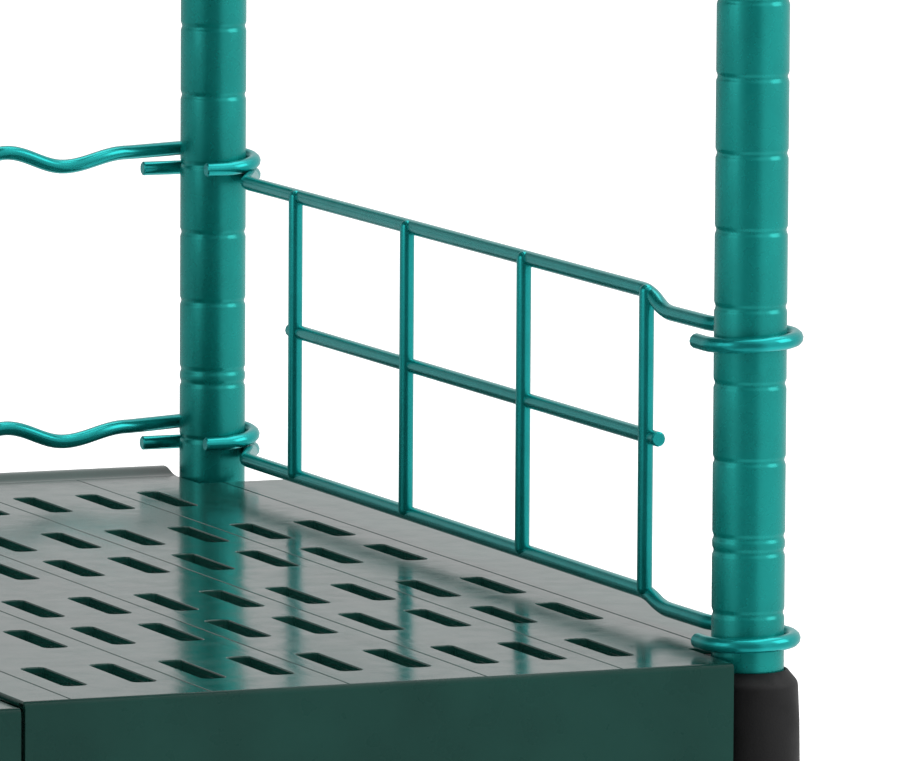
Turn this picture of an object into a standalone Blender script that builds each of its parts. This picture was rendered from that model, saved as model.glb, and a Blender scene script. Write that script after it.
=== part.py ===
"""A two-deck plant trolley: grooved posts, slotted lift-out trays, wire guards and swivel casters.

X is the width, -Y the open front that is loaded from, and Z is up. Lengths are in metres.
"""

from math import cos, pi, radians, sin

import bmesh
import bpy
from mathutils import Matrix, Vector

# Posts
POST_SPACING_X = 0.524
POST_SPACING_Y = 0.488
POST_RADIUS = 0.0121
POST_WALL = 0.0015
POST_TOP = 0.950
ROUND_STEPS = 20
CLEARANCE = 0.0004

# Decks. Heights are those of the walking surface of the trays.
BASE_DECK = 0.208
UPPER_DECK = 0.720
TRAY_THICKNESS = 0.0024
LEFT_TRAY_DROP = 0.0018
LEFT_TRAY_FORWARD = 0.001
TRAY_SEAM = 0.0016
SKIRT_DEPTH = 0.060
SKIRT_THICKNESS = 0.0025
OVERHANG_Y = 0.018
OVERHANG_X = 0.022
NOTCH_X = 0.0125
NOTCH_Y = 0.020

# Folded frame members under the trays
SIDE_BEAM_X = 0.014
BEAM_TOP_GAP = 0.0056
BEAM_BOTTOM = 0.056
BEAM_FLANGE = 0.020
BEAM_SHEET = 0.002

# Tapered corner blocks that grip the posts
BLOCK_TOP = 0.0046
BLOCK_HEIGHT = 0.0654
BLOCK_TOP_RADIUS = 0.0137
BLOCK_SHOULDER_RADIUS = 0.0163
BLOCK_FOOT_RADIUS = 0.0178
BLOCK_STEPS = 16
POST_PLUG_DEPTH = 0.045

# Wire guards, heights above their deck
WIRE_RADIUS = 0.0024
WIRE_ROUNDNESS = 1
EYE_RADIUS = 0.0153
EYE_SEGMENTS = 12
GUARD_RAIL_HEIGHTS = (0.0099, 0.0627, 0.1119)
GUARD_FRONT_EYES = (0.0052, 0.1044)
GUARD_REAR_EYES = (0.0090, 0.1106)
GUARD_CRANK_START = 0.022
GUARD_CRANK_END = 0.004
GUARD_UPRIGHT_FIRST = 0.0797
GUARD_UPRIGHT_SPACING = 0.1064
GUARD_UPRIGHT_INSET = 0.0030
GUARD_UPRIGHTS = 4
GUARD_STUB = 0.0045
BACK_RAIL_HEIGHTS = (0.0190, 0.1205)
BACK_EYE_DROP = 0.0045
WAVE_START = 0.030
WAVE_LENGTH = 0.0464
WAVE_DEPTH = 0.0055
WAVE_POINTS = 3

# Casters
WHEEL_RADIUS = 0.050
TYRE_INNER = 0.038
TYRE_HALF = 0.0150
HUB_HALF = 0.0166
AXLE_RADIUS = 0.004
TRAIL = 0.028
LEG_INNER = 0.0170
LEG_OUTER = 0.0200
LEG_TOP_STEP = 0.0006
FORK_TOP = 0.1155
FORK_PLATE = 0.005
FORK_RADIUS = 0.022
KINGPIN_RADIUS = 0.005
STEM_RADIUS = 0.0075
PEDAL_PIVOT_Y = 0.044
PEDAL_PIVOT_Z = 0.106
PEDAL_PIN_RADIUS = 0.003
PEDAL_HALF_WIDTH = 0.014

HALF_X = POST_SPACING_X / 2
PEDAL_REACH = 0.092
WHEEL_FRONT = POST_SPACING_Y / 2 - TRAIL + WHEEL_RADIUS
PEDAL_BACK = POST_SPACING_Y / 2 + PEDAL_REACH
CENTRE_Y = (WHEEL_FRONT - PEDAL_BACK) / 2
FRONT_Y = CENTRE_Y - POST_SPACING_Y / 2
REAR_Y = CENTRE_Y + POST_SPACING_Y / 2
SIDES = {"left": -1, "right": 1}
ENDS = {"front": FRONT_Y, "rear": REAR_Y}

for old in list(bpy.data.objects):
    bpy.data.objects.remove(old, do_unlink=True)

parts = bpy.data.collections.new("plant_trolley")
cutters = bpy.data.collections.new("cutters")
bpy.context.scene.collection.children.link(parts)
bpy.context.scene.collection.children.link(cutters)


def material(name, colour, roughness, metallic=0.0):
    made = bpy.data.materials.new(name)
    made.use_nodes = True
    shader = made.node_tree.nodes["Principled BSDF"]
    shader.inputs["Base Color"].default_value = (*colour, 1.0)
    shader.inputs["Roughness"].default_value = roughness
    shader.inputs["Metallic"].default_value = metallic
    made.diffuse_color = (*colour, 1.0)
    return made


TEAL = material("teal_epoxy", (0.010, 0.215, 0.180), 0.25)
GREEN_POLYMER = material("green_polymer", (0.020, 0.085, 0.070), 0.15)
GREEN_SHEET = material("green_sheet", (0.018, 0.075, 0.060), 0.60)
BLACK = material("black_polymer", (0.020, 0.020, 0.022), 0.50)
ZINC = material("zinc_steel", (0.55, 0.56, 0.58), 0.35, 1.0)
HUB = material("grey_hub", (0.30, 0.31, 0.32), 0.45)
TYRE = material("dark_tyre", (0.05, 0.05, 0.055), 0.70)
PEDAL = material("green_pedal", (0.010, 0.160, 0.130), 0.45)


def add(name, mesh, finish, matrix=None, as_cutter=False):
    """An object for a mesh, in the collection of parts or in that of cutters."""
    made = bpy.data.objects.new(name, mesh)
    made.matrix_world = matrix or Matrix()
    if as_cutter:
        made.hide_render = True
        made.display_type = "WIRE"
        cutters.objects.link(made)
    else:
        mesh.materials.clear()
        mesh.materials.append(finish)
        mesh.shade_smooth()
        mesh.set_sharp_from_angle(angle=radians(35))
        parts.objects.link(made)
    return made


def mesh_of_curve(curve):
    """The curve's evaluated surface with its caps welded on."""
    holder = bpy.data.objects.new("holder", curve)
    cutters.objects.link(holder)
    evaluated = holder.evaluated_get(bpy.context.evaluated_depsgraph_get())
    mesh = bpy.data.meshes.new_from_object(evaluated)
    bpy.data.objects.remove(holder)
    work = bmesh.new()
    work.from_mesh(mesh)
    bmesh.ops.remove_doubles(work, verts=work.verts, dist=1e-6)
    bmesh.ops.recalc_face_normals(work, faces=work.faces)
    work.to_mesh(mesh)
    work.free()
    return mesh


def wire(points, closed=False):
    """A round wire through the points."""
    curve = bpy.data.curves.new("wire", "CURVE")
    curve.dimensions = "3D"
    curve.bevel_depth = WIRE_RADIUS
    curve.bevel_resolution = WIRE_ROUNDNESS
    curve.use_fill_caps = True
    spline = curve.splines.new("POLY")
    spline.points.add(len(points) - 1)
    for knot, place in zip(spline.points, points):
        knot.co = (*place, 1)
    spline.use_cyclic_u = closed
    return mesh_of_curve(curve)


def flat(outline, thickness):
    """A flat outline in XY, thickened evenly to both sides along Z."""
    curve = bpy.data.curves.new("outline", "CURVE")
    curve.dimensions = "2D"
    curve.fill_mode = "BOTH"
    curve.extrude = thickness / 2
    spline = curve.splines.new("POLY")
    spline.points.add(len(outline) - 1)
    for knot, (x, y) in zip(spline.points, outline):
        knot.co = (x, y, 0, 1)
    spline.use_cyclic_u = True
    return mesh_of_curve(curve)


def profile_mesh(profile, closed):
    """Edges through the profile's (radius, height) points, ready to be turned."""
    mesh = bpy.data.meshes.new("profile")
    work = bmesh.new()
    corners = [work.verts.new((radius, 0, height)) for radius, height in profile]
    for start, end in zip(corners, corners[1:]):
        work.edges.new((start, end))
    if closed:
        work.edges.new((corners[-1], corners[0]))
    work.to_mesh(mesh)
    work.free()
    return mesh


def turned(name, profile, finish, place, closed=True, steps=ROUND_STEPS, tilt=None, as_cutter=False):
    """A turned piece. The profile runs top to bottom down its outer side."""
    matrix = Matrix.Translation(place) @ (tilt or Matrix())
    made = add(name, profile_mesh(profile, closed), finish, matrix, as_cutter)
    screw = made.modifiers.new("turn", "SCREW")
    screw.steps = steps
    screw.render_steps = steps
    screw.use_merge_vertices = True
    screw.merge_threshold = 1e-5
    screw.use_smooth_shade = True
    return made


def block(name, low, high, finish, as_cutter=False):
    """A box between two corners."""
    mesh = bpy.data.meshes.new(name)
    work = bmesh.new()
    bmesh.ops.create_cube(work, size=1)
    size = Vector(high) - Vector(low)
    bmesh.ops.scale(work, verts=work.verts, vec=size)
    work.to_mesh(mesh)
    work.free()
    centre = (Vector(low) + Vector(high)) / 2
    return add(name, mesh, finish, Matrix.Translation(centre), as_cutter)


def combine(target, other, operation):
    """A Boolean of one object with another, which is kept as a hidden cutter."""
    boolean = target.modifiers.new(operation.lower(), "BOOLEAN")
    boolean.operation = operation
    boolean.object = other
    boolean.solver = "EXACT"


ACROSS = Matrix.Rotation(radians(90), 4, "Y")


def rod(name, radius, half, place):
    """A round bar along X that shapes another piece."""
    profile = [(0, half), (radius, half), (radius, -half), (0, -half)]
    return turned(name, profile, None, place, False, 12, ACROSS, True)


def add_posts():
    inner = POST_RADIUS - POST_WALL
    foot = BASE_DECK - BLOCK_TOP - POST_PLUG_DEPTH + CLEARANCE
    wall = [(POST_RADIUS, POST_TOP), (POST_RADIUS, foot), (inner, foot), (inner, POST_TOP)]
    cap = [
        (0, 0.0070),
        (0.0080, 0.0058),
        (POST_RADIUS, CLEARANCE),
        (inner - CLEARANCE, CLEARANCE),
        (inner - CLEARANCE, -0.012),
        (0, -0.012),
    ]
    for end, y in ENDS.items():
        for side, sign in SIDES.items():
            place = (sign * HALF_X, y, 0)
            turned(f"post_{end}_{side}", wall, TEAL, place)
            top = (sign * HALF_X, y, POST_TOP)
            turned(f"post_cap_{end}_{side}", cap, BLACK, top, False, 12)


def block_profile(bore, foot_bore, step_depth):
    """The corner block's section, with the post's bore on top and a smaller one under it."""
    foot = -BLOCK_TOP - BLOCK_HEIGHT
    outside = [
        (BLOCK_TOP_RADIUS, -BLOCK_TOP),
        (BLOCK_SHOULDER_RADIUS, -BLOCK_TOP - 0.0045),
        (BLOCK_FOOT_RADIUS, foot + 0.002),
        (BLOCK_FOOT_RADIUS - 0.001, foot),
    ]
    if foot_bore == bore:
        return outside + [(bore, foot), (bore, -BLOCK_TOP)]
    step = -BLOCK_TOP - step_depth
    return outside + [(foot_bore, foot), (foot_bore, step), (bore, step), (bore, -BLOCK_TOP)]


def running_bore(radius):
    """The corner radius of a block's many-sided bore whose flats clear a round piece."""
    return (radius + CLEARANCE) / cos(pi / BLOCK_STEPS)


def add_corner_blocks(level, deck, foot_radius):
    profile = block_profile(running_bore(POST_RADIUS), running_bore(foot_radius), POST_PLUG_DEPTH)
    for end, y in ENDS.items():
        for side, sign in SIDES.items():
            place = (sign * HALF_X, y, deck)
            name = f"{level}_corner_block_{end}_{side}"
            turned(name, profile, BLACK, place, steps=BLOCK_STEPS)


def corner_cutter(deck, sign, y):
    """The space round a corner block that the frame members end against."""
    top = -BEAM_TOP_GAP + 0.002
    foot = -BEAM_BOTTOM - 0.002
    radius = BLOCK_FOOT_RADIUS + CLEARANCE
    profile = [(0, top), (radius, top), (radius, foot), (0, foot)]
    place = (sign * HALF_X, y, deck)
    return turned("corner_space", profile, None, place, False, BLOCK_STEPS, as_cutter=True)


def channel_outline():
    """A folded C section: x runs into the trolley from the web, y is height below the deck."""
    top, foot = -BEAM_TOP_GAP, -BEAM_BOTTOM
    return [
        (0, foot),
        (BEAM_FLANGE, foot),
        (BEAM_FLANGE, foot + BEAM_SHEET),
        (BEAM_SHEET, foot + BEAM_SHEET),
        (BEAM_SHEET, top - BEAM_SHEET),
        (BEAM_FLANGE, top - BEAM_SHEET),
        (BEAM_FLANGE, top),
        (0, top),
    ]


def channel(name, length, place, inward):
    """A folded member centred on a place, its open side facing the inward direction."""
    inward = Vector(inward)
    up = Vector((0, 0, 1))
    along = inward.cross(up)
    turn = Matrix((inward, up, along)).transposed().to_4x4()
    mesh = flat(channel_outline(), length)
    return add(name, mesh, GREEN_SHEET, Matrix.Translation(place) @ turn)


def add_frame(level, deck):
    """Four folded members that end against the corner blocks."""
    corners = {
        (end, side): corner_cutter(deck, sign, y)
        for end, y in ENDS.items()
        for side, sign in SIDES.items()
    }
    long_x = POST_SPACING_X - 2 * NOTCH_X
    web_y = OVERHANG_Y - SKIRT_THICKNESS - LEFT_TRAY_FORWARD - CLEARANCE
    for end, y in ENDS.items():
        outward = -1 if end == "front" else 1
        place = (0, y + outward * web_y, deck)
        beam = channel(f"{level}_frame_{end}", long_x, place, (0, -outward, 0))
        for side in SIDES:
            combine(beam, corners[end, side], "DIFFERENCE")
    for side, sign in SIDES.items():
        place = (sign * (HALF_X + SIDE_BEAM_X), CENTRE_Y, deck)
        beam = channel(f"{level}_frame_{side}", POST_SPACING_Y, place, (-sign, 0, 0))
        for end in ENDS:
            combine(beam, corners[end, side], "DIFFERENCE")


def tray_outline(sign):
    """A tray's plan: straight at the seam, notched round both posts."""
    inner = sign * TRAY_SEAM / 2
    notch = sign * (HALF_X - NOTCH_X)
    outer = sign * (HALF_X + OVERHANG_X)
    front, back = FRONT_Y - OVERHANG_Y, REAR_Y + OVERHANG_Y
    return [
        (inner, front),
        (notch, front),
        (notch, FRONT_Y + NOTCH_Y),
        (outer, FRONT_Y + NOTCH_Y),
        (outer, REAR_Y - NOTCH_Y),
        (notch, REAR_Y - NOTCH_Y),
        (notch, back),
        (inner, back),
    ]


def add_trays(level, deck):
    """Two trays side by side, each with a skirt at its front and at its back."""
    for side, sign in SIDES.items():
        down = LEFT_TRAY_DROP if side == "left" else 0
        ahead = LEFT_TRAY_FORWARD if side == "left" else 0
        shift = Vector((0, -ahead, deck - down))
        plate = flat(tray_outline(sign), TRAY_THICKNESS)
        centre = shift - Vector((0, 0, TRAY_THICKNESS / 2))
        tray = add(f"{level}_tray_{side}", plate, GREEN_POLYMER, Matrix.Translation(centre))
        edge = (sign * TRAY_SEAM / 2, sign * (HALF_X - NOTCH_X))
        for face in (FRONT_Y - OVERHANG_Y, REAR_Y + OVERHANG_Y - SKIRT_THICKNESS):
            low = Vector((min(edge), face, -SKIRT_DEPTH + down)) + shift
            high = Vector((max(edge), face + SKIRT_THICKNESS, -0.001)) + shift
            skirt = block("skirt", low, high, None, as_cutter=True)
            combine(tray, skirt, "UNION")


def eye(x, y, z):
    """A closed ring of wire round a post."""
    angles = [2 * pi * step / EYE_SEGMENTS for step in range(EYE_SEGMENTS)]
    ring = [(x + EYE_RADIUS * cos(a), y + EYE_RADIUS * sin(a), z) for a in angles]
    return wire(ring, closed=True)


def weld(name, meshes):
    """Wires made into one piece."""
    made = add(name, meshes[0], TEAL)
    for mesh in meshes[1:]:
        combine(made, add("wire", mesh, None, as_cutter=True), "UNION")
    return made


def add_side_guard(level, deck, side):
    """Three rails and four uprights, hung on the posts by eyes at both ends."""
    x = SIDES[side] * HALF_X
    inside = x - SIDES[side] * GUARD_UPRIGHT_INSET
    low, middle, high = (deck + height for height in GUARD_RAIL_HEIGHTS)
    first = FRONT_Y + GUARD_UPRIGHT_FIRST
    last = first + (GUARD_UPRIGHTS - 1) * GUARD_UPRIGHT_SPACING
    wires = []
    for z, front_eye, rear_eye in zip((low, high), GUARD_FRONT_EYES, GUARD_REAR_EYES):
        rail = [
            (x, FRONT_Y + EYE_RADIUS, deck + front_eye),
            (x, first - GUARD_CRANK_START, deck + front_eye),
            (x, first - GUARD_CRANK_END, z),
            (x, last, z),
            (x, REAR_Y - EYE_RADIUS, deck + rear_eye),
        ]
        wires.append(wire(rail))
        wires.append(eye(x, FRONT_Y, deck + front_eye))
        wires.append(eye(x, REAR_Y, deck + rear_eye))
    wires.append(wire([(x, first - GUARD_STUB, middle), (x, last + GUARD_STUB, middle)]))
    for step in range(GUARD_UPRIGHTS):
        y = first + step * GUARD_UPRIGHT_SPACING
        wires.append(wire([(inside, y, low - 0.001), (inside, y, high + 0.001)]))
    weld(f"{level}_guard_{side}", wires)


def add_back_rail(level, deck, which, height):
    """A wavy wire between the rear posts, with an eye round each."""
    z = deck + height
    reach = HALF_X - WAVE_START
    waves = round(2 * reach / WAVE_LENGTH)
    count = waves * WAVE_POINTS
    run = [(-HALF_X + EYE_RADIUS, REAR_Y, z - BACK_EYE_DROP)]
    for step in range(count + 1):
        dip = WAVE_DEPTH * (1 - cos(2 * pi * step / WAVE_POINTS)) / 2
        run.append((-reach + 2 * reach * step / count, REAR_Y, z - dip))
    run.append((HALF_X - EYE_RADIUS, REAR_Y, z - BACK_EYE_DROP))
    wires = [wire(run)]
    for sign in SIDES.values():
        wires.append(eye(sign * HALF_X, REAR_Y, z - BACK_EYE_DROP))
    weld(f"{level}_back_rail_{which}", wires)


def add_level(level, deck, foot_radius):
    add_corner_blocks(level, deck, foot_radius)
    add_frame(level, deck)
    add_trays(level, deck)
    for side in SIDES:
        add_side_guard(level, deck, side)
    for which, height in zip(("lower", "upper"), BACK_RAIL_HEIGHTS):
        add_back_rail(level, deck, which, height)


def leg_outline():
    """A fork leg seen from the side: y along the trail, then height above the floor."""
    eye_radius = 0.009
    arc = [radians(angle) for angle in range(-10, -180, -42)]
    foot = [(TRAIL + eye_radius * cos(a), WHEEL_RADIUS + eye_radius * sin(a)) for a in arc]
    return [
        (-0.014, FORK_TOP),
        (0.018, FORK_TOP),
        (0.040, FORK_TOP - 0.001),
        (0.051, FORK_TOP - 0.006),
        (0.048, FORK_TOP - 0.018),
        *foot,
    ]


def add_fork(name, x, y):
    rim = [
        (FORK_RADIUS, FORK_TOP),
        (FORK_RADIUS, FORK_TOP - FORK_PLATE),
        (KINGPIN_RADIUS + CLEARANCE, FORK_TOP - FORK_PLATE),
        (KINGPIN_RADIUS + CLEARANCE, FORK_TOP),
    ]
    fork = turned(name, rim, ZINC, (x, y, 0), steps=16)
    side_on = Matrix(((0, 0, 1), (1, 0, 0), (0, 1, 0))).to_4x4()
    thickness = LEG_OUTER - LEG_INNER
    holes = [
        rod("axle_hole", AXLE_RADIUS + CLEARANCE, 0.03, (x, y + TRAIL, WHEEL_RADIUS)),
        rod(
            "pedal_hole",
            PEDAL_PIN_RADIUS + CLEARANCE,
            0.03,
            (x, y + PEDAL_PIVOT_Y, PEDAL_PIVOT_Z),
        ),
    ]
    for sign in SIDES.values():
        middle = Vector((x + sign * (LEG_INNER + LEG_OUTER) / 2, y, 0))
        leg = flat([(v, w - LEG_TOP_STEP) for v, w in leg_outline()], thickness)
        combine(fork, add("leg", leg, None, Matrix.Translation(middle) @ side_on, True), "UNION")
    for hole in holes:
        combine(fork, hole, "DIFFERENCE")


def add_stem(name, x, y):
    """The kingpin with its rivet head, the bearing housing, and the stem in the corner block."""
    neck = BASE_DECK - BLOCK_TOP - BLOCK_HEIGHT - CLEARANCE
    top = BASE_DECK - BLOCK_TOP - POST_PLUG_DEPTH - CLEARANCE
    under = FORK_TOP - FORK_PLATE - CLEARANCE
    profile = [
        (0, top),
        (STEM_RADIUS, top),
        (STEM_RADIUS, neck),
        (0.0140, neck),
        (0.0140, FORK_TOP + 0.011),
        (0.0210, FORK_TOP + 0.008),
        (0.0215, FORK_TOP + CLEARANCE),
        (KINGPIN_RADIUS, FORK_TOP + CLEARANCE),
        (KINGPIN_RADIUS, under),
        (0.0080, under),
        (0.0070, under - 0.003),
        (0, under - 0.003),
    ]
    turned(name, profile, ZINC, (x, y, 0), False, 12)


def add_wheel(tag, x, y):
    """Hub, tyre and axle on a line along X through the fork's trail."""
    place = (x, y + TRAIL, WHEEL_RADIUS)
    rim = TYRE_INNER * cos(pi / ROUND_STEPS) - CLEARANCE
    half = [(0.0095, HUB_HALF), (0.0110, 0.0055), (0.0325, 0.0055), (0.0325, 0.0130), (rim, 0.0130)]
    bore = AXLE_RADIUS + CLEARANCE
    hub = [(bore, HUB_HALF), *half, *[(r, -z) for r, z in reversed(half)], (bore, -HUB_HALF)]
    turned(f"wheel_{tag}", hub, HUB, place, steps=16, tilt=ACROSS)
    tread = [(TYRE_INNER, TYRE_HALF), (0.0465, TYRE_HALF), (WHEEL_RADIUS, 0.0080)]
    tyre = [*tread, *[(r, -z) for r, z in reversed(tread)]]
    turned(f"tyre_{tag}", tyre, TYRE, place, tilt=ACROSS)
    head = LEG_OUTER + CLEARANCE
    end = head + 0.004
    pin = [(0, end), (0.0065, end), (0.0065, head), (AXLE_RADIUS, head)]
    bolt = [*pin, *[(r, -z) for r, z in reversed(pin)]]
    turned(f"axle_{tag}", bolt, ZINC, place, False, 12, ACROSS)


def add_pedal(name, x, y):
    """A brake pedal on a pin through the fork's legs, with a shoe over the tyre."""
    outline = [
        (-0.006, -0.002),
        (0.010, -0.008),
        (0.013, -0.003),
        (0.034, -0.001),
        (PEDAL_REACH - PEDAL_PIVOT_Y, 0.004),
        (PEDAL_REACH - PEDAL_PIVOT_Y - 0.001, 0.008),
        (0.030, 0.005),
        (0.004, 0.007),
        (-0.006, 0.004),
    ]
    side_on = Matrix(((0, 0, 1), (1, 0, 0), (0, 1, 0))).to_4x4()
    pivot = Vector((x, y + PEDAL_PIVOT_Y, PEDAL_PIVOT_Z))
    mesh = flat(outline, 2 * PEDAL_HALF_WIDTH)
    pedal = add(name, mesh, PEDAL, Matrix.Translation(pivot) @ side_on)
    combine(pedal, rod("pin", PEDAL_PIN_RADIUS, LEG_OUTER + 0.002, pivot), "UNION")


def add_casters():
    for end, y in ENDS.items():
        for side, sign in SIDES.items():
            tag = f"{end}_{side}"
            x = sign * HALF_X
            add_stem(f"caster_stem_{tag}", x, y)
            add_fork(f"caster_fork_{tag}", x, y)
            add_wheel(tag, x, y)
            if end == "rear":
                add_pedal(f"brake_pedal_{side}", x, y)


add_posts()
add_level("base", BASE_DECK, STEM_RADIUS)
add_level("upper", UPPER_DECK, POST_RADIUS)
add_casters()
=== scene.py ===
"""The looks of the plant trolley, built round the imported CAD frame. Lengths are in metres."""

from math import cos, pi, radians, sin

import bmesh
import bpy
from mathutils import Matrix, Vector


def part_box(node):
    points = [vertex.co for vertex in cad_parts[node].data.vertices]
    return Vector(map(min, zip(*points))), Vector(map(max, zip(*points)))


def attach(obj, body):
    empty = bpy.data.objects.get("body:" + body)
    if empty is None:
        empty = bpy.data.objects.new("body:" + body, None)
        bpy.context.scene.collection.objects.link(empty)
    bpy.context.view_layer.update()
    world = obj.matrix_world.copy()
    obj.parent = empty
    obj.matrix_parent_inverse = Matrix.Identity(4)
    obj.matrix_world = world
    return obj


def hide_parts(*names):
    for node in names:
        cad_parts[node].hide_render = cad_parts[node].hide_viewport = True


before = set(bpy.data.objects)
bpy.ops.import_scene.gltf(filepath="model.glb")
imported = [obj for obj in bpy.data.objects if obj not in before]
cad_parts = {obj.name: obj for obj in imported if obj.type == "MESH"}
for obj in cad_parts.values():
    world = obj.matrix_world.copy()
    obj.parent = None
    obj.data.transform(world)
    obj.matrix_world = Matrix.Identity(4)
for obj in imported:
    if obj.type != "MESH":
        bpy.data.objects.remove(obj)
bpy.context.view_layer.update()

# Places taken from the CAD frame
LEVELS = ("base", "upper")
ENDS = ("front", "rear")
SIDES = {"left": -1, "right": 1}


def centre_of(node):
    low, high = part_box(node)
    return (low + high) / 2


POST = {(end, side): centre_of(f"post_{end}_{side}") for end in ENDS for side in SIDES}
DECK = {level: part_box(f"{level}_tray_right")[1].z for level in LEVELS}
FRONT_Y = POST["front", "right"].y
REAR_Y = POST["rear", "right"].y
HALF_X = POST["front", "right"].x
POST_RADIUS = (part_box("post_front_right")[1].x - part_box("post_front_right")[0].x) / 2
POST_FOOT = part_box("post_front_right")[0].z
POST_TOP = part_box("post_front_right")[1].z
WHEEL_RADIUS = centre_of("tyre_front_right").z
ACROSS = Matrix.Rotation(radians(90), 4, "Y")

# Posts: tube wall and rolled grooves, the first above the lower deck, one in eight doubled
POST_WALL = 0.0015
GROOVE_PITCH = 0.0254
GROOVE_FIRST = 0.0143
GROOVE_DEPTH = 0.00048
GROOVE_HALF = 0.0018
MARK_EVERY = 8
MARK_OFFSET = 0.0048

# Wires: half their thickness, their bend round a post, and the chamfer on a cut end
WIRE = 0.0026
EYE_RADIUS = 0.0150
CUT_END = 0.80
CUT_EDGE = 0.0004


# ---------------------------------------------------------------- materials


def new_material(name, colour, roughness, metallic=0.0):
    made = bpy.data.materials.new(name)
    made.use_nodes = True
    shader = made.node_tree.nodes["Principled BSDF"]
    shader.inputs["Base Color"].default_value = (*colour, 1)
    shader.inputs["Roughness"].default_value = roughness
    shader.inputs["Metallic"].default_value = metallic
    return made, made.node_tree, shader


def noise(tree, scale, detail=3.0, stretch=(1, 1, 1)):
    """A noise value in the object's own metres, stretched along an axis if asked."""
    place = tree.nodes.new("ShaderNodeTexCoord")
    mapping = tree.nodes.new("ShaderNodeMapping")
    mapping.inputs["Scale"].default_value = stretch
    texture = tree.nodes.new("ShaderNodeTexNoise")
    texture.inputs["Scale"].default_value = scale
    texture.inputs["Detail"].default_value = detail
    tree.links.new(place.outputs["Object"], mapping.inputs["Vector"])
    tree.links.new(mapping.outputs["Vector"], texture.inputs["Vector"])
    return texture.outputs["Fac"]


def ramp(tree, value, low, high):
    """Colours or greys spread over a noise value."""
    made = tree.nodes.new("ShaderNodeValToRGB")
    made.color_ramp.elements[0].position = 0.35
    made.color_ramp.elements[0].color = (*low, 1)
    made.color_ramp.elements[1].position = 0.65
    made.color_ramp.elements[1].color = (*high, 1)
    tree.links.new(value, made.inputs["Fac"])
    return made.outputs["Color"]


def spread(tree, value, low, high):
    """A noise value mapped to a range."""
    made = tree.nodes.new("ShaderNodeMapRange")
    made.inputs["From Min"].default_value = 0.3
    made.inputs["From Max"].default_value = 0.7
    made.inputs["To Min"].default_value = low
    made.inputs["To Max"].default_value = high
    tree.links.new(value, made.inputs["Value"])
    return made.outputs["Result"]


def bump(tree, shader, value, distance):
    made = tree.nodes.new("ShaderNodeBump")
    made.inputs["Distance"].default_value = distance
    made.inputs["Strength"].default_value = 1.0
    tree.links.new(value, made.inputs["Height"])
    tree.links.new(made.outputs["Normal"], shader.inputs["Normal"])


def shades(colour, darker, lighter):
    return tuple(c * darker for c in colour), tuple(min(1, c * lighter) for c in colour)


def coated(name, colour, roughness, metallic, patch=60, peel=300):
    """A glossy epoxy coat over steel: slight colour patches and orange peel."""
    made, tree, shader = new_material(name, colour, roughness, metallic)
    low, high = shades(colour, 0.94, 1.05)
    tree.links.new(ramp(tree, noise(tree, patch), low, high), shader.inputs["Base Color"])
    rough = spread(tree, noise(tree, patch * 3), roughness * 0.85, roughness * 1.2)
    tree.links.new(rough, shader.inputs["Roughness"])
    bump(tree, shader, noise(tree, peel, 2), 0.00001)
    return made


def moulded(name, colour, roughness, grain=900, depth=0.00004, patch=25, vary=0.12, specular=0.5):
    """A moulded polymer: fine grain, soft patches and a little wear in the gloss."""
    made, tree, shader = new_material(name, colour, roughness)
    shader.inputs["Specular IOR Level"].default_value = specular
    low, high = shades(colour, 1 - vary, 1 + vary)
    tree.links.new(ramp(tree, noise(tree, patch, 5), low, high), shader.inputs["Base Color"])
    rough = spread(tree, noise(tree, patch * 4, 6), roughness * 0.8, roughness * 1.25)
    tree.links.new(rough, shader.inputs["Roughness"])
    bump(tree, shader, noise(tree, grain, 3), depth)
    return made


def plated(name, colour, roughness):
    """Zinc plate: bright metal with cloudy roughness and fine drawn lines."""
    made, tree, shader = new_material(name, colour, roughness, 1.0)
    low, high = shades(colour, 0.8, 1.1)
    tree.links.new(ramp(tree, noise(tree, 45, 4), low, high), shader.inputs["Base Color"])
    rough = spread(tree, noise(tree, 160, 5), roughness * 0.7, roughness * 1.4)
    tree.links.new(rough, shader.inputs["Roughness"])
    bump(tree, shader, noise(tree, 500, 2, (1, 1, 0.05)), 0.00003)
    return made


TEAL = coated("teal_epoxy", (0.004, 0.330, 0.300), 0.26, 0.6)
TEAL_WIRE = coated("teal_wire", (0.010, 0.400, 0.390), 0.20, 0.75, patch=90)
DECK_GREEN = moulded("green_polymer", (0.0110, 0.070, 0.056), 0.15, grain=260, depth=0.00002)
# The front skirt: the deck's own plastic, rougher and less glossy, with its base colour darkened as
# painted shade on the face turned to the front.
FRONT_SKIRT_SHADED_GREEN = moulded("green_skirt_painted_shade", (0.0075, 0.048, 0.038), 0.30, grain=600, depth=0.00003, specular=0.15)
SHEET_GREEN = moulded("green_sheet", (0.013, 0.052, 0.043), 0.50, grain=1200, depth=0.00005)
BLACK = moulded("black_polymer", (0.0045, 0.0045, 0.005), 0.50, grain=1400, depth=0.00005, specular=0.3)
HUB_GREY = moulded("grey_hub", (0.28, 0.29, 0.30), 0.42)
TYRE_BLACK = moulded("dark_tyre", (0.035, 0.036, 0.039), 0.62, grain=700, depth=0.0001, vary=0.3)
PEDAL_GREEN = moulded("green_pedal", (0.008, 0.150, 0.122), 0.40)
ZINC = plated("zinc_steel", (0.62, 0.63, 0.65), 0.30)


# ---------------------------------------------------------------- mesh tools

SHARP = radians(32)


def finish_mesh(work, name):
    """The built mesh, smooth but for its sharp edges."""
    bmesh.ops.remove_doubles(work, verts=work.verts, dist=2e-6)
    bmesh.ops.recalc_face_normals(work, faces=work.faces)
    mesh = bpy.data.meshes.new(name)
    work.to_mesh(mesh)
    work.free()
    mesh.shade_smooth()
    mesh.set_sharp_from_angle(angle=SHARP)
    return mesh


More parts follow.
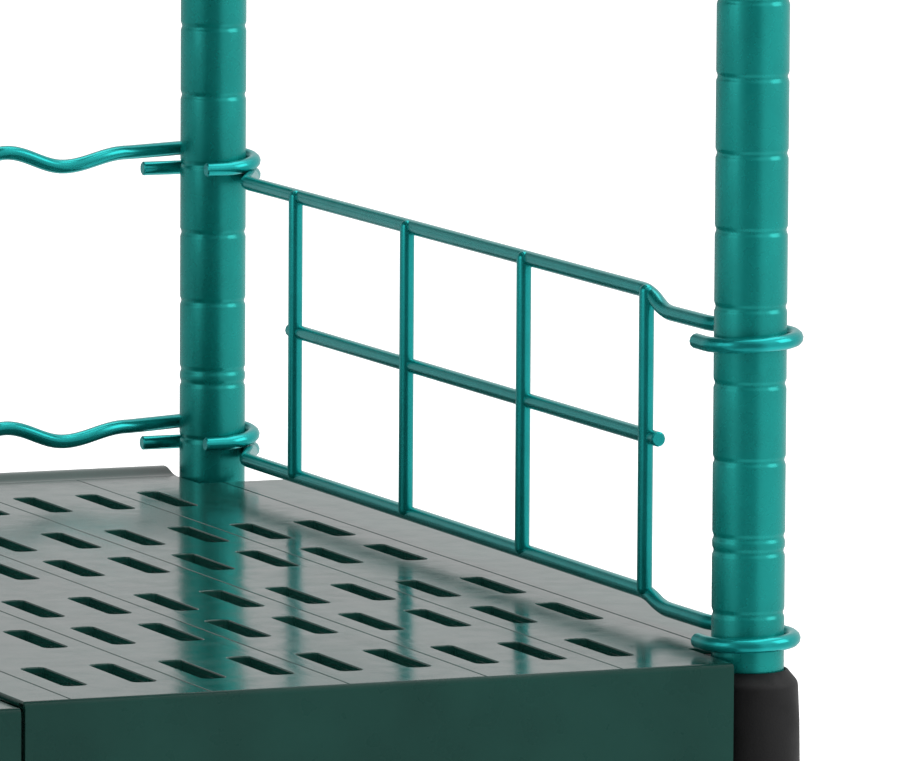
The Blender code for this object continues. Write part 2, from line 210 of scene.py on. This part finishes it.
def soften(points, radius, closed=False, steps=3):
    """The outline with each corner rounded by a short curve."""
    points = [Vector(p) for p in points]
    count = len(points)
    made = []
    for index, corner in enumerate(points):
        if not closed and index in (0, count - 1):
            made.append(corner)
            continue
        before = points[index - 1] - corner
        after = points[(index + 1) % count] - corner
        reach = min(radius, before.length * 0.45, after.length * 0.45)
        start = corner + before.normalized() * reach
        end = corner + after.normalized() * reach
        for step in range(steps + 1):
            t = step / steps
            made.append(start * (1 - t) ** 2 + corner * 2 * t * (1 - t) + end * t**2)
    return made


def lathe(name, profile, steps=56, closed=False):
    """A mesh turned round Z from (radius, height) points."""
    work = bmesh.new()
    rings = []
    for radius, height in profile:
        if radius < 1e-7:
            rings.append([work.verts.new((0, 0, height))] * steps)
            continue
        ring = []
        for step in range(steps):
            turn = 2 * pi * step / steps
            ring.append(work.verts.new((radius * cos(turn), radius * sin(turn), height)))
        rings.append(ring)
    pairs = list(zip(rings, rings[1:]))
    if closed:
        pairs.append((rings[-1], rings[0]))
    for upper, lower in pairs:
        for step in range(steps):
            after = (step + 1) % steps
            corners = [upper[step], lower[step], lower[after], upper[after]]
            unique = list(dict.fromkeys(corners))
            if len(unique) > 2:
                work.faces.new(unique)
    return finish_mesh(work, name)


def slab(name, outlines, thickness, edge=0.0):
    """Flat outlines with their holes, thickened along Z about zero, with rounded rims."""
    curve = bpy.data.curves.new(name, "CURVE")
    curve.dimensions = "2D"
    curve.fill_mode = "BOTH"
    curve.extrude = thickness / 2 - edge
    curve.bevel_depth = edge
    curve.bevel_resolution = 2
    curve.offset = -edge
    for outline in outlines:
        spline = curve.splines.new("POLY")
        spline.points.add(len(outline) - 1)
        for knot, place in zip(spline.points, outline):
            knot.co = (place[0], place[1], 0, 1)
        spline.use_cyclic_u = True
    return curve_mesh(curve, name)


def wire(name, points, domed=False):
    """A round wire through the points, with its ends cut square or, when welded on, domed."""
    curve = bpy.data.curves.new(name, "CURVE")
    curve.dimensions = "3D"
    curve.bevel_depth = WIRE
    curve.bevel_resolution = 4
    curve.use_fill_caps = True
    if domed:
        points, widths = dome_ends(points)
    else:
        points = cut_ends(points)
        widths = [CUT_END] + [1.0] * (len(points) - 2) + [CUT_END]
    spline = curve.splines.new("POLY")
    spline.points.add(len(points) - 1)
    for knot, place, width in zip(spline.points, points, widths):
        knot.co = (*place, 1)
        knot.radius = width
    return curve_mesh(curve, name)


def dome_ends(points):
    """A straight wire's two ends drawn out into half balls: its points and their widths."""
    first, last = points
    run = (last - first).normalized()
    made, widths = [], []
    for turn in (8, 24, 40, 56, 72, 90):
        made.append(first + run * WIRE * (1 - cos(radians(turn))))
        widths.append(sin(radians(turn)))
    mirrored = [last - (p - first) for p in reversed(made)]
    return made + mirrored, widths + widths[::-1]


def cut_ends(points):
    """The points with one more just inside each end, where the cut wire's chamfer starts."""
    first = points[0] + (points[1] - points[0]).normalized() * CUT_EDGE
    last = points[-1] + (points[-2] - points[-1]).normalized() * CUT_EDGE
    return [points[0], first, *points[1:-1], last, points[-1]]


def curve_mesh(curve, name):
    holder = bpy.data.objects.new(name, curve)
    bpy.context.scene.collection.objects.link(holder)
    evaluated = holder.evaluated_get(bpy.context.evaluated_depsgraph_get())
    mesh = bpy.data.meshes.new_from_object(evaluated)
    bpy.data.objects.remove(holder)
    bpy.data.curves.remove(curve)
    work = bmesh.new()
    work.from_mesh(mesh)
    return finish_mesh(work, name)


def box_mesh(low, high, edge):
    """A box between two corners, its edges rounded."""
    work = bmesh.new()
    bmesh.ops.create_cube(work, size=1)
    low, high = Vector(low), Vector(high)
    bmesh.ops.scale(work, verts=work.verts, vec=high - low)
    bmesh.ops.translate(work, verts=work.verts, vec=(low + high) / 2)
    bmesh.ops.bevel(work, geom=work.edges[:], offset=edge, segments=2, affect="EDGES", profile=0.5)
    return finish_mesh(work, "box")


def joined(name, meshes):
    """Several meshes as one, each a (mesh, matrix) pair or a mesh alone."""
    work = bmesh.new()
    for item in meshes:
        mesh, matrix = item if isinstance(item, tuple) else (item, None)
        if matrix:
            mesh.transform(matrix)
        work.from_mesh(mesh)
    made = bpy.data.meshes.new(name)
    work.to_mesh(made)
    work.free()
    made.shade_smooth()
    made.set_sharp_from_angle(angle=SHARP)
    return made


def piece(name, mesh, finish, body, matrix=None, replaced=()):
    """A visible piece on a body of the frame."""
    made = bpy.data.objects.new(name, mesh)
    mesh.materials.clear()
    mesh.materials.append(finish)
    bpy.context.scene.collection.objects.link(made)
    if matrix:
        made.matrix_world = matrix
    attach(made, body)
    if replaced:
        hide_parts(*replaced)
    return made


def flat_faces(made):
    """Large flat faces keep their own direction next to rounded edges."""
    modifier = made.modifiers.new("even", "WEIGHTED_NORMAL")
    modifier.keep_sharp = True
    modifier.weight = 100


def bevelled(made, width, segments=3, angle=40):
    """Rolled edges on a piece that keeps its CAD shape."""
    modifier = made.modifiers.new("rounded", "BEVEL")
    modifier.width = width
    modifier.segments = segments
    modifier.limit_method = "ANGLE"
    modifier.angle_limit = radians(angle)


# ---------------------------------------------------------------- posts


def groove_heights():
    """Heights of all grooves on a post, with the doubled one that marks every eighth."""
    first = DECK["base"] + GROOVE_FIRST
    heights = []
    for index in range(-2, 40):
        z = first + index * GROOVE_PITCH
        heights.append(z)
        if (index - 1) % MARK_EVERY == 0:
            heights.append(z - MARK_OFFSET)
    margin = 0.004
    return sorted((z for z in heights if POST_FOOT + margin < z < POST_TOP - margin), reverse=True)


def post_profile():
    """The tube's wall with rolled grooves, from the top down the outside and up the bore."""
    inner = POST_RADIUS - POST_WALL
    points = [(POST_RADIUS - 0.0006, POST_TOP), (POST_RADIUS, POST_TOP - 0.0006)]
    for z in groove_heights():
        for step in range(9):
            t = step / 8 * 2 - 1
            depth = GROOVE_DEPTH * (0.5 + 0.5 * cos(pi * t))
            points.append((POST_RADIUS - depth, z - t * GROOVE_HALF))
    points += [(POST_RADIUS, POST_FOOT), (inner, POST_FOOT), (inner, POST_TOP)]
    return points


def add_posts():
    mesh = lathe("post", post_profile(), closed=True)
    cap_low, cap_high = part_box("post_cap_front_right")
    dome = cap_high.z - POST_TOP
    plug = POST_RADIUS - POST_WALL - 0.0004
    rim = [(POST_RADIUS * cos(a), 0.0016 + (dome - 0.0016) * sin(a)) for a in
           (radians(90 - 9 * step) for step in range(11))]
    rim[0] = (0, dome)
    profile = rim + [(POST_RADIUS, 0.0003), (plug, 0.0003), (plug, cap_low.z - POST_TOP)]
    cap = lathe("cap", profile + [(0, cap_low.z - POST_TOP)], 40)
    for (end, side), place in POST.items():
        name = f"{end}_{side}"
        ground = Matrix.Translation((place.x, place.y, 0))
        piece(f"grooved_post_{name}", mesh.copy(), TEAL, "chassis",
              ground, [f"post_{name}"])
        top = Matrix.Translation((place.x, place.y, POST_TOP))
        piece(f"post_dome_{name}", cap.copy(), BLACK, "chassis",
              top, [f"post_cap_{name}"])


def add_corner_blocks():
    for level in LEVELS:
        for end, side in POST:
            node = f"{level}_corner_block_{end}_{side}"
            low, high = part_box(node)
            foot = (high.x - low.x) / 2
            bore = POST_RADIUS + 0.0003
            lower_bore = 0.0079 if level == "base" else bore
            step = high.z - 0.0452
            outside = soften(
                [
                    (bore + 0.0004, high.z),
                    (bore + 0.0009, high.z),
                    (foot - 0.0010, high.z - 0.0042),
                    (foot - 0.0004, high.z - 0.0170),
                    (foot + 0.0004, low.z + 0.0030),
                    (foot + 0.0004, low.z + 0.0006),
                    (foot - 0.0004, low.z),
                    (lower_bore, low.z),
                ],
                0.0012,
            )
            inside = [(lower_bore, step), (bore, step)] if level == "base" else []
            profile = [*outside, *inside, (bore, high.z - 0.0004)]
            mesh = lathe("corner_block", profile, closed=True)
            place = POST[end, side]
            matrix = Matrix.Translation((place.x, place.y, 0))
            piece(f"{level}_wedge_block_{end}_{side}", mesh, BLACK, "chassis",
                  matrix, [node])


# ---------------------------------------------------------------- trays

# Slots along Y, two columns to a plank, with the planks counted outwards from the seam
SLOT_LENGTH = 0.0430
SLOT_WIDTH = 0.0082
SLOT_ROUND = 0.0028
PLANK = 0.04826
PLANK_FIRST = 0.0172
PLANKS = 5
SEAM = 0.0009

# Rows of slots behind the front posts' line: a single row, two pairs, and a single row
FRONT_ROW = 0.0322
PAIR_MIDDLE = 0.1478
PAIR_PITCH = 0.1564
ROW_HALF_GAP = 0.0336
BACK_ROW = 0.4310
END_ROWS = (0, 5)
POST_CLEARANCE = 0.030

# The plate, the thick pad under it, the skirts and the low lip at the back
PLATE = 0.0024
PLATE_ROUND = 0.0005
PAD = 0.0090
PAD_LAP = 0.0002
PAD_INSET_Y = 0.0115
PAD_INSET_X = 0.0112
PAD_NOTCH_X = 0.0195
SKIRT = 0.0025
SKIRT_ROUND = 0.0006
BEND = 0.0009
LIP = 0.0022
LIP_RUN = 0.0140
EDGE_ROUND = 0.0020

# The corner of a tray that is cut away beside a post
NOTCH_X = 0.0128
NOTCH_Y = 0.020


def slot_outline(x, y):
    """A slot along Y with rounded corners."""
    half_x, half_y = SLOT_WIDTH / 2, SLOT_LENGTH / 2
    corners = [(x - half_x, y - half_y), (x + half_x, y - half_y),
               (x + half_x, y + half_y), (x - half_x, y + half_y)]
    return [(p.x, p.y) for p in soften(corners, SLOT_ROUND, closed=True)]


def row_centres():
    """Slot rows from front to back: a single row, two pairs, and a single row."""
    rows = [FRONT_ROW]
    for pair in range(2):
        for half in (-1, 1):
            rows.append(PAIR_MIDDLE + pair * PAIR_PITCH + half * ROW_HALF_GAP)
    rows.append(BACK_ROW)
    return [FRONT_Y + row for row in rows]


def slot_places():
    """Slot centres on one tray, measured outwards from the seam between the trays."""
    places = []
    for plank in range(PLANKS):
        for column in (PLANK_FIRST + (plank + 0.25) * PLANK, PLANK_FIRST + (plank + 0.75) * PLANK):
            for row, y in enumerate(row_centres()):
                beside_post = column > HALF_X - POST_CLEARANCE and row in END_ROWS
                if not beside_post:
                    places.append((column, y))
    return places


def strip_outline(start, end, front, back):
    """A lengthwise strip of the deck between two distances from the seam, cut at the posts."""
    notch = HALF_X - NOTCH_X
    low, high = FRONT_Y + NOTCH_Y, REAR_Y - NOTCH_Y
    if start >= notch:
        return [(start, low), (end, low), (end, high), (start, high)]
    if end > notch:
        return [(start, front), (notch, front), (notch, low), (end, low),
                (end, high), (notch, high), (notch, back), (start, back)]
    return [(start, front), (end, front), (end, back), (start, back)]


def deck_plate(side, low, high):
    """The walking surface: strips that meet in shallow grooves, with rows of slots."""
    sign = SIDES[side]
    outer = max(abs(low.x), abs(high.x))
    front, back = low.y + EDGE_ROUND, high.y - LIP_RUN
    edges = [SEAM] + [PLANK_FIRST + k * PLANK for k in range(PLANKS + 1)] + [outer]
    outlines = [strip_outline(a, b, front, back) for a, b in zip(edges, edges[1:])]
    outlines += [slot_outline(x, y) for x, y in slot_places()]
    mirrored = [[(sign * x, y) for x, y in outline] for outline in outlines]
    return slab("deck", mirrored, PLATE, PLATE_ROUND)


def deck_pad(side, shift):
    """The thick middle of the tray under the plate, through which the slots go down."""
    sign = SIDES[side]
    front, back = FRONT_Y + PAD_INSET_Y, REAR_Y - PAD_INSET_Y
    low, high = FRONT_Y + NOTCH_Y, REAR_Y - NOTCH_Y
    inner, notch, outer = SEAM, HALF_X - PAD_NOTCH_X, HALF_X - PAD_INSET_X
    pad = [(inner, front), (notch, front), (notch, low), (outer, low),
           (outer, high), (notch, high), (notch, back), (inner, back)]
    outlines = [pad] + [slot_outline(x, y) for x, y in slot_places()]
    mirrored = [[(sign * x, y - shift) for x, y in outline] for outline in outlines]
    return slab("pad", mirrored, PAD)


def skirt_mesh(side, section):
    """A moulded edge from the seam to the notch beside the post, from its (y, z) section."""
    sign = SIDES[side]
    start, end = sorted((sign * SEAM, sign * (HALF_X - NOTCH_X)))
    work = bmesh.new()
    first = [work.verts.new((start, y, z)) for y, z in section]
    last = [work.verts.new((end, y, z)) for y, z in section]
    for index in range(len(section)):
        after = (index + 1) % len(section)
        work.faces.new((first[index], first[after], last[after], last[index]))
    work.faces.new(first)
    work.faces.new(last)
    return finish_mesh(work, "skirt")


def front_section(low, high):
    """The front skirt, rounded over into the deck."""
    face, top, sheet = low.y, high.z, SKIRT
    outer = []
    for step in range(9):
        turn = radians(90 * step / 8)
        y = face + EDGE_ROUND * (1 - sin(turn))
        outer.append((y, top - EDGE_ROUND * (1 - cos(turn))))
    foot = soften([(face, low.z + 0.001), (face, low.z), (face + sheet, low.z),
                   (face + sheet, low.z + 0.001)], SKIRT_ROUND)
    back = [(face + sheet, top - PLATE), (face + 0.006, top - PLATE), (face + 0.006, top - BEND),
            (face + EDGE_ROUND, top - BEND)]
    return outer + [(p.x, p.y) for p in foot] + back


def rear_section(low, high):
    """The rear skirt, with a low lip that rises from the deck."""
    face, top, sheet = high.y, high.z, SKIRT
    rise = []
    for step in range(11):
        t = step / 10
        y = face - LIP_RUN + (LIP_RUN - 0.0014) * t
        rise.append((y, top + LIP * (1 - cos(pi * min(1, t * 1.15))) / 2))
    round_off = [(face - 0.0004, top + LIP - 0.0004), (face, top + LIP - 0.0014)]
    foot = soften([(face, low.z + 0.001), (face, low.z), (face - sheet, low.z),
                   (face - sheet, low.z + 0.001)], SKIRT_ROUND)
    inner = [(face - sheet, top - PLATE), (face - LIP_RUN - 0.003, top - PLATE),
             (face - LIP_RUN - 0.003, top - BEND), (face - LIP_RUN, top - BEND)]
    return rise + round_off + [(p.x, p.y) for p in foot] + inner


def add_tray(level, side):
    node = f"{level}_tray_{side}"
    name = f"{level}_slotted_tray_{side}"
    low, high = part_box(node)
    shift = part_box(f"{level}_tray_right")[0].y - low.y
    plate = (deck_plate(side, low, high), Matrix.Translation((0, 0, high.z - PLATE / 2)))
    under = high.z - PLATE + PAD_LAP - PAD / 2
    pad = (deck_pad(side, shift), Matrix.Translation((0, 0, under)))
    mesh = joined(name, [plate, pad])
    flat_faces(piece(name, mesh, DECK_GREEN, "chassis", None, [node]))
    # The front skirt takes the colour darkened with painted shade; the rear lip keeps the deck's own
    # colour.
    for end, section, finish in (
        ("front", front_section(low, high), FRONT_SKIRT_SHADED_GREEN),
        ("rear", rear_section(low, high), DECK_GREEN),
    ):
        name = f"{level}_tray_{end}_skirt_{side}"
        flat_faces(piece(name, skirt_mesh(side, section), finish, "chassis"))


def add_trays():
    for level in LEVELS:
        for side in SIDES:
            add_tray(level, side)


def add_frames():
    """The folded members keep their CAD shape, with rolled edges and a powder coat."""
    for level in LEVELS:
        for place in (*ENDS, *SIDES):
            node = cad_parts[f"{level}_frame_{place}"]
            node.data.materials.clear()
            node.data.materials.append(SHEET_GREEN)
            bevelled(node, 0.0007)


# ---------------------------------------------------------------- wire guards

# A side guard's wires: heights over the deck, and where the uprights stand behind the front post
LOW_RAIL = 0.0099
MID_RAIL = 0.0627
TOP_RAIL = 0.1119
UPRIGHTS = 4
UPRIGHT_FIRST = 0.0826
UPRIGHT_PITCH = 0.1064
UPRIGHT_INSET = 0.0015
UPRIGHT_BELOW = 0.0010
UPRIGHT_ABOVE = 0.0026
MID_STUB = 0.0076

# A side rail's route: its crank behind the front post, its rear bend and the tail behind the rear post
CRANK_START = 0.0708
CRANK_END = 0.0832
CRANK_ROUND = 0.007
REAR_TAIL = 0.0216
REAR_TAIL_RISE = 0.0012
REAR_BEND_DROP = 0.0004
REAR_BEND_END = -92

# A back rail's waves, the swing outwards beside each post, and the hook round it
BACK_RAILS = {"lower": 0.0190, "upper": 0.1205}
WAVES = 10
WAVE_START = 0.0318
WAVE_END = 0.0268
WAVE_CREST = 0.0019
WAVE_DIP = 0.0040
WAVE_SWING = 0.004
WAVE_SWING_RUN = 0.022
BACK_HOOK_DROP = 0.0054
BACK_HOOK_TAIL = 0.0086
BACK_HOOK_ANGLES = (28, -181)
FRONT_HOOK_ANGLES = (38, -185)


def arc(start, end, z_start, z_end, steps=28):
    """Points round a post's axis, by angle in degrees from +X, while the height changes evenly."""
    points = []
    for step in range(steps + 1):
        t = step / steps
        a = radians(start + (end - start) * t)
        z = z_start + (z_end - z_start) * t
        points.append(Vector((EYE_RADIUS * cos(a), EYE_RADIUS * sin(a), z)))
    return points


def hook(centre, outward, toward, z_main, z_tail, tail, angles):
    """A wire's end: it goes round the far side of the post and on in a short straight tail.

    outward is the side that it passes on, and toward points from the post back along the wire.
    The bend runs from the first angle to the last, with -90 straight behind the post.
    """
    local = arc(*angles, z_main, z_tail)
    run = Vector((local[-1].x - local[-2].x, local[-1].y - local[-2].y, 0)).normalized()
    points = local + [local[-1] + run * tail]
    made = []
    for p in points:
        flat = outward * p.x + toward * p.y
        made.append(Vector((centre.x + flat.x, centre.y + flat.y, p.z)))
    return made


def side_rail(side, z_rail, z_hook, rise, tail, deck):
    """A long rail: hooked round the front post, cranked up, straight, and bent behind the rear post."""
    sign = SIDES[side]
    x = sign * HALF_X
    out = Vector((sign, 0, 0))
    low, high = deck + z_hook, deck + z_rail
    start = hook(POST["front", side], out, Vector((0, 1, 0)), low + rise, low, tail, FRONT_HOOK_ANGLES)
    finish = hook(POST["rear", side], out, Vector((0, -1, 0)), high - REAR_BEND_DROP,
                  high + REAR_TAIL_RISE, REAR_TAIL, (FRONT_HOOK_ANGLES[0], REAR_BEND_END))
    straight = [
        Vector((x, FRONT_Y + 0.032, low + rise + 0.0002)),
        Vector((x, FRONT_Y + CRANK_START, low + rise)),
        Vector((x, FRONT_Y + CRANK_END, high)),
        Vector((x, REAR_Y - 0.034, high)),
    ]
    return smooth_path(list(reversed(start)) + soften(straight, CRANK_ROUND, steps=6) + finish)


def smooth_path(points):
    """The route with its sharp corners rounded, and without points that nearly coincide."""
    points = soften(points, 0.004, steps=4)
    made = [points[0]]
    for place in points[1:]:
        if (place - made[-1]).length > 0.0006:
            made.append(place)
    return made


def add_side_guard(level, side):
    deck = DECK[level]
    sign = SIDES[side]
    x = sign * HALF_X
    inside = x - sign * UPRIGHT_INSET
    meshes = [
        wire("rail", side_rail(side, TOP_RAIL, 0.1038, 0.0026, 0.0095, deck)),
        wire("rail", side_rail(side, LOW_RAIL, 0.0044, 0.0018, 0.0062, deck)),
    ]
    places = [FRONT_Y + UPRIGHT_FIRST + UPRIGHT_PITCH * step for step in range(UPRIGHTS)]
    middle = [Vector((x, y, deck + MID_RAIL)) for y in (places[0] - MID_STUB, places[-1] + MID_STUB)]
    meshes.append(wire("rail", middle))
    for y in places:
        foot = Vector((inside, y, deck + LOW_RAIL - UPRIGHT_BELOW))
        head = Vector((inside, y, deck + TOP_RAIL + UPRIGHT_ABOVE))
        meshes.append(wire("upright", [foot, head], domed=True))
    name = f"{level}_wire_guard_{side}"
    piece(name, joined(name, meshes), TEAL_WIRE, "chassis", None, [f"{level}_guard_{side}"])


def back_rail_path(z):
    """Wavy in the vertical plane, and swung outwards near each post to pass behind it."""
    reach = HALF_X - WAVE_START
    half_wave = (reach - WAVE_END) / (WAVES - 1)
    run = []
    steps = WAVES * 16
    for step in range(steps + 1):
        x = -reach + 2 * reach * step / steps
        to_end = reach - abs(x)
        edge = min(1, to_end / WAVE_END)
        phase = pi * (edge + max(0, to_end - WAVE_END) / half_wave)
        depth = (WAVE_DIP + WAVE_CREST * edge) * (1 - cos(phase)) / 2
        swing = WAVE_SWING * max(0, 1 - to_end / WAVE_SWING_RUN) ** 2
        run.append(Vector((x, REAR_Y + swing, z + WAVE_CREST * edge - depth)))
    return run


def add_back_rail(level, which, height):
    z = DECK[level] + height
    left, right = (
        hook(POST["rear", side], Vector((0, 1, 0)), Vector((-sign, 0, 0)), z, z - BACK_HOOK_DROP,
             BACK_HOOK_TAIL, BACK_HOOK_ANGLES)
        for side, sign in SIDES.items()
    )
    path = list(reversed(left)) + back_rail_path(z) + right
    mesh = wire("wave", smooth_path(path))
    piece(f"{level}_wavy_rail_{which}", mesh, TEAL_WIRE, "chassis",
          None, [f"{level}_back_rail_{which}"])


def add_guards():
    for level in LEVELS:
        for side in SIDES:
            add_side_guard(level, side)
        for which, height in BACK_RAILS.items():
            add_back_rail(level, which, height)


# ---------------------------------------------------------------- casters


def add_stem(tag):
    low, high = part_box(f"caster_stem_{tag}")
    place = POST[tuple(tag.split("_"))]
    neck = DECK["base"] - 0.0704
    fork_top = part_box(f"caster_fork_{tag}")[1].z
    radius = (high.x - low.x) / 2
    profile = soften(
        [
            (0, high.z),
            (0.0070, high.z),
            (0.0075, high.z - 0.0008),
            (0.0075, neck),
            (0.0138, neck),
            (0.0138, neck - 0.0040),
            (0.0100, neck - 0.0048),
            (0.0100, fork_top + 0.0120),
            (0.0150, fork_top + 0.0112),
            (radius - 0.0008, fork_top + 0.0070),
            (radius, fork_top + 0.0050),
            (radius, fork_top + 0.0004),
            (0.0050, fork_top + 0.0004),
            (0.0050, low.z + 0.0035),
            (0.0079, low.z + 0.0035),
            (0.0066, low.z),
            (0, low.z),
        ],
        0.0007,
    )
    mesh = lathe("stem", profile)
    piece(f"swivel_stem_{tag}", mesh, ZINC, "chassis",
          Matrix.Translation((place.x, place.y, 0)), [f"caster_stem_{tag}"])


def add_fork(tag):
    """The pressed fork keeps its CAD shape, with rolled edges."""
    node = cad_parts[f"caster_fork_{tag}"]
    node.data.materials.clear()
    node.data.materials.append(ZINC)
    bevelled(node, 0.0007, 2)


def add_wheel(tag):
    low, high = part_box(f"tyre_{tag}")
    place = centre_of(f"tyre_{tag}")
    turn = Matrix.Translation(place) @ ACROSS
    half = (high.x - low.x) / 2
    tread = soften(
        [
            (0.0378, half - 0.0004),
            (0.0400, half),
            (0.0462, half - 0.0004),
            (0.0490, half - 0.0040),
            (WHEEL_RADIUS, half - 0.0080),
            (WHEEL_RADIUS, -half + 0.0080),
            (0.0490, -half + 0.0040),
            (0.0462, -half + 0.0004),
            (0.0400, -half),
            (0.0378, -half + 0.0004),
        ],
        0.0016,
        steps=4,
    )
    tyre = lathe("tyre", tread, 72, closed=True)
    piece(f"rubber_tyre_{tag}", tyre, TYRE_BLACK, f"wheel_{tag}", turn, [f"tyre_{tag}"])
    hub = hub_mesh()
    piece(f"wheel_hub_{tag}", hub, HUB_GREY, f"wheel_{tag}", turn, [f"wheel_{tag}"])
    bolt = axle_mesh(tag)
    piece(f"axle_bolt_{tag}", bolt, ZINC, f"fork_{tag}", turn, [f"axle_{tag}"])


def hub_mesh():
    """The wheel's core: boss, dished web with spokes, and rim."""
    side = [
        (0.0044, 0.0166),
        (0.0092, 0.0166),
        (0.0104, 0.0150),
        (0.0112, 0.0070),
        (0.0150, 0.0042),
        (0.0290, 0.0042),
        (0.0318, 0.0062),
        (0.0330, 0.0128),
        (0.0346, 0.0136),
        (0.0371, 0.0136),
    ]
    section = side + [(r, -z) for r, z in reversed(side)]
    core = lathe("hub", soften(section, 0.0010, closed=True), closed=True)
    parts = [core]
    for index in range(8):
        spoke = box_mesh((0.0095, -0.0013, -0.0105), (0.0332, 0.0013, 0.0105), 0.0005)
        parts.append((spoke, Matrix.Rotation(2 * pi * index / 8, 4, "Z")))
    return joined("hub", parts)


def axle_mesh(tag):
    """A bolt with a hexagon head at one end and a lock nut at the other."""
    low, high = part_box(f"axle_{tag}")
    end = (high.x - low.x) / 2
    head = end - 0.0040
    seat = head + 0.0009
    tip = end - 0.001
    flipped = Matrix.Rotation(pi, 4, "X")
    shank = lathe("shank", [(0, tip), (0.0040, tip), (0.0040, -tip), (0, -tip)], 32)
    washer = lathe("washer", [(0.0041, seat), (0.0064, seat), (0.0064, head), (0.0041, head)], 40, True)
    outline = [(0, end), (0.0050, end), (0.0061, end - 0.0008), (0.0061, seat), (0, seat)]
    nut = lathe("nut", soften(outline, 0.0003), 6)
    return joined("axle", [shank, washer, (washer.copy(), flipped), nut, (nut.copy(), flipped)])


def add_pedal(side):
    """The pedal keeps its CAD outline, rounded, with raised grip bars on its tread."""
    tag = f"rear_{side}"
    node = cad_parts[f"brake_pedal_{side}"]
    node.data.materials.clear()
    node.data.materials.append(PEDAL_GREEN)
    bevelled(node, 0.0009, 3, 30)
    low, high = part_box(f"brake_pedal_{side}")
    x = (low.x + high.x) / 2
    bars = []
    for index in range(4):
        y = high.y - 0.0050 - index * 0.0038
        z = high.z - 0.0004 - index * 0.0006
        low_corner = (x - 0.0115, y - 0.0009, z - 0.0012)
        high_corner = (x + 0.0115, y + 0.0009, z + 0.0004)
        bars.append(box_mesh(low_corner, high_corner, 0.0004))
    name = f"pedal_grips_{side}"
    piece(name, joined(name, bars), PEDAL_GREEN, f"pedal_{side}")


def add_casters():
    for end, side in POST:
        tag = f"{end}_{side}"
        add_stem(tag)
        add_fork(tag)
        add_wheel(tag)
    for side in SIDES:
        add_pedal(side)


# ---------------------------------------------------------------- studio

LIT_CENTRE = Vector((0, 0, 0.45))
CAMERA_FROM_CORNER = Vector((-1.5312, -3.4415, 0.5493))
CAMERA_TURN = (-22.481, 90 - 6.945, 0.341)


def add_camera():
    """A long lens from the front left, a little above the deck, on the front right corner."""
    data = bpy.data.cameras.new("camera")
    data.sensor_width = 36
    data.lens = 460.3
    data.clip_start = 0.1
    data.clip_end = 100
    camera = bpy.data.objects.new("camera", data)
    bpy.context.scene.collection.objects.link(camera)
    camera.location = Vector((HALF_X, FRONT_Y, DECK["base"])) + CAMERA_FROM_CORNER
    yaw, pitch, roll = (radians(angle) for angle in CAMERA_TURN)
    turn = Matrix.Rotation(yaw, 4, "Z") @ Matrix.Rotation(pitch, 4, "X") @ Matrix.Rotation(roll, 4, "Z")
    camera.rotation_euler = turn.to_euler()
    bpy.context.scene.camera = camera


def add_light(name, place, size, power):
    """A soft area light turned to the middle of the trolley."""
    data = bpy.data.lights.new(name, "AREA")
    data.shape = "RECTANGLE"
    data.size, data.size_y = size
    data.energy = power
    light = bpy.data.objects.new(name, data)
    bpy.context.scene.collection.objects.link(light)
    light.location = place
    light.rotation_euler = (LIT_CENTRE - Vector(place)).to_track_quat("-Z", "Y").to_euler()
    light.visible_camera = False


def lobe(tree, direction, start, end, low, high):
    """A soft patch of light round a direction, from the cosine where it starts to where it is full."""
    place = tree.nodes.new("ShaderNodeTexCoord")
    along = tree.nodes.new("ShaderNodeVectorMath")
    along.operation = "DOT_PRODUCT"
    along.inputs[1].default_value = Vector(direction).normalized()
    level = tree.nodes.new("ShaderNodeMapRange")
    level.interpolation_type = "SMOOTHSTEP"
    level.inputs["From Min"].default_value = start
    level.inputs["From Max"].default_value = end
    level.inputs["To Min"].default_value = low
    level.inputs["To Max"].default_value = high
    tree.links.new(place.outputs["Generated"], along.inputs[0])
    tree.links.new(along.outputs["Value"], level.inputs["Value"])
    return level.outputs["Result"]


def add_sky():
    """A dim room with soft light from the right, the left, behind, above and below."""
    world = bpy.data.worlds.new("studio")
    bpy.context.scene.world = world
    world.use_nodes = True
    tree = world.node_tree
    total = lobe(tree, (1.0, -0.04, 0.12), -0.12, 0.32, 0.10, 0.70)
    for extra in (
        lobe(tree, (-1.0, -0.03, 0.08), 0.66, 0.98, 0.0, 0.42),
        lobe(tree, (-0.45, 0.89, -0.10), 0.74, 0.97, 0.0, 0.36),
        lobe(tree, (0.15, -0.25, 1.0), 0.40, 0.90, 0.0, 0.38),
        lobe(tree, (0.0, 0.0, -1.0), 0.35, 0.85, 0.0, 0.48),
    ):
        both = tree.nodes.new("ShaderNodeMath")
        both.operation = "ADD"
        tree.links.new(total, both.inputs[0])
        tree.links.new(extra, both.inputs[1])
        total = both.outputs["Value"]
    background = tree.nodes["Background"]
    tree.links.new(total, background.inputs["Strength"])
    background.inputs["Color"].default_value = (1, 1, 1, 1)


def add_floor():
    """A very wide pale floor, left out of the mirror images in the glossy surfaces."""
    bpy.ops.mesh.primitive_plane_add(size=120)
    floor = bpy.context.object
    floor.name = "studio_floor"
    made, tree, shader = new_material("pale_floor", (0.93, 0.93, 0.93), 0.9)
    tree.links.new(ramp(tree, noise(tree, 3), (0.92,) * 3, (0.95,) * 3), shader.inputs["Base Color"])
    shader.inputs["Emission Color"].default_value = (1, 1, 1, 1)
    shader.inputs["Emission Strength"].default_value = 0.55
    floor.data.materials.append(made)
    floor.visible_glossy = False


def add_studio():
    add_sky()
    add_floor()
    add_light("key", (3.4, -2.0, 2.2), (2.4, 2.6), 34)
    add_light("fill", (-3.9, -0.6, 1.6), (2.6, 2.6), 16)
    add_light("top", (0.4, 0.4, 4.2), (4.4, 4.4), 70)
    bpy.context.scene.view_settings.view_transform = "Standard"


add_posts()
add_corner_blocks()
add_trays()
add_frames()
add_guards()
add_casters()
add_camera()
add_studio()
